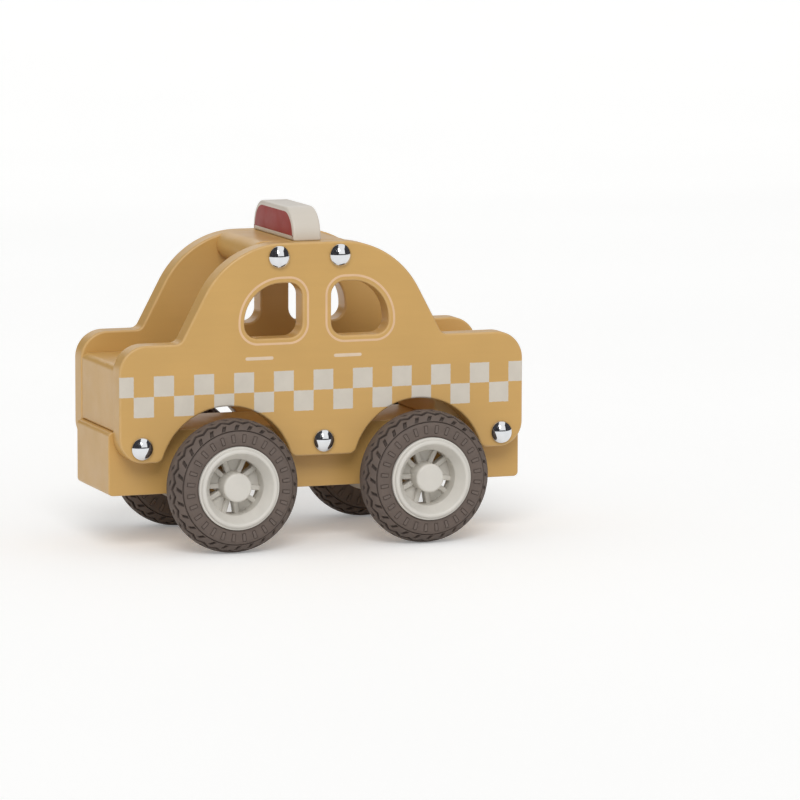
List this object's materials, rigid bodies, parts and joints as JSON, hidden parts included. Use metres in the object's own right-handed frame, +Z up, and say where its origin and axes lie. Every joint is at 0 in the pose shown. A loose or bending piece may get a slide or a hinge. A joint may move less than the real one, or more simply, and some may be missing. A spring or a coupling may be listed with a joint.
{
  "type": "toy taxi",
  "caption": "Wooden toy taxi with board sides, open cabin and windows, checker band, roof sign, domed screws and rubber-tyred wheels that roll.",
  "frame": {"origin": "on the floor under the middle of the chassis, midway between the axles", "axes": "+X towards the taxi's front, +Y to its left side, +Z up"},
  "size_m": [0.188, 0.1032, 0.1458],
  "materials": {
    "ochre_paint": "satin paint",
    "cream_paint": "satin paint",
    "bare_wood": "bare",
    "chrome_dome": "polished",
    "steel_rod": "drawn",
    "cream_plastic": "satin",
    "brown_rubber": "matte",
    "cap_plastic": "satin"
  },
  "bodies": {
    "body": {"right_side_panel": "ochre_paint", "left_side_panel": "ochre_paint", "chassis_block": "ochre_paint", "bonnet_block": "ochre_paint", "boot_block": "ochre_paint", "roof_board": "ochre_paint", "roof_sign": "cream_paint", "sign_dowels": "bare_wood", "bonnet_dowels": "bare_wood", "boot_dowels": "bare_wood", "right_roof_screws": "chrome_dome", "left_roof_screws": "chrome_dome", "right_base_screws": "chrome_dome", "left_base_screws": "chrome_dome"},
    "front_wheelset": {"front_axle": "steel_rod", "front_right_rim": "cream_plastic", "front_right_tyre": "brown_rubber", "front_right_hub_cap": "cap_plastic", "front_left_rim": "cream_plastic", "front_left_tyre": "brown_rubber", "front_left_hub_cap": "cap_plastic"},
    "rear_wheelset": {"rear_axle": "steel_rod", "rear_right_rim": "cream_plastic", "rear_right_tyre": "brown_rubber", "rear_right_hub_cap": "cap_plastic", "rear_left_rim": "cream_plastic", "rear_left_tyre": "brown_rubber", "rear_left_hub_cap": "cap_plastic"}
  },
  "joints": [
    {"name": "front_roll", "type": "hinge", "parent": "body", "child": "front_wheelset", "pos_m": [0.04375, 0, 0.029], "axis": [0, 1, 0], "continuous": true},
    {"name": "rear_roll", "type": "hinge", "parent": "body", "child": "rear_wheelset", "pos_m": [-0.04375, 0, 0.029], "axis": [0, 1, 0], "continuous": true}
  ]
}
